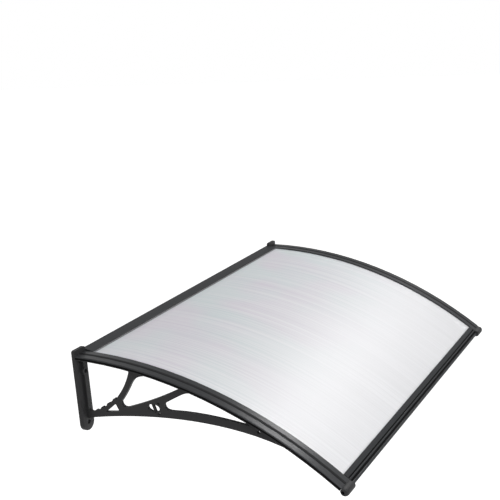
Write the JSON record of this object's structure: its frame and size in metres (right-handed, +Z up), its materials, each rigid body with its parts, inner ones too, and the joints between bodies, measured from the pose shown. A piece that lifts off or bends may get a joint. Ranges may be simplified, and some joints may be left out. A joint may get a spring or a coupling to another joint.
{
  "type": "door canopy",
  "caption": "Curved twin-wall roof sheet over a door, carried by scroll brackets with pierced webs, coated side trims, a wall bar and a front gutter bar.",
  "frame": {"origin": "middle of the canopy's width, on the wall plane, level with the top of the side trims where they start at the wall", "axes": "+X along the wall, +Y into the wall, +Z up; the roof reaches out along -Y"},
  "size_m": [1.2, 0.7747, 0.2844],
  "materials": {
    "moulded_plastic": "fine moulded grain, satin black",
    "coated_bar": "dark grey powder coat on extruded aluminium",
    "rubber": "matt black extruded seal",
    "clear_sheet": "frosted clear twin-wall sheet",
    "steel": "blackened"
  },
  "bodies": {
    "root": {"left_bracket": "moulded_plastic", "right_bracket": "moulded_plastic", "roof_sheet": "clear_sheet", "left_top_trim": "coated_bar", "right_top_trim": "coated_bar", "left_cover_strip": "rubber", "right_cover_strip": "rubber", "left_side_seal": "rubber", "right_side_seal": "rubber", "left_trim_screw_1": "steel", "left_trim_screw_2": "steel", "left_trim_screw_3": "steel", "left_trim_screw_4": "steel", "right_trim_screw_1": "steel", "right_trim_screw_2": "steel", "right_trim_screw_3": "steel", "right_trim_screw_4": "steel", "rear_bar": "coated_bar", "rear_seal": "rubber", "front_bar": "coated_bar", "front_seal": "rubber", "front_left_cap": "moulded_plastic", "front_right_cap": "moulded_plastic", "left_cap_screw": "steel", "right_cap_screw": "steel"}
  },
  "joints": []
}
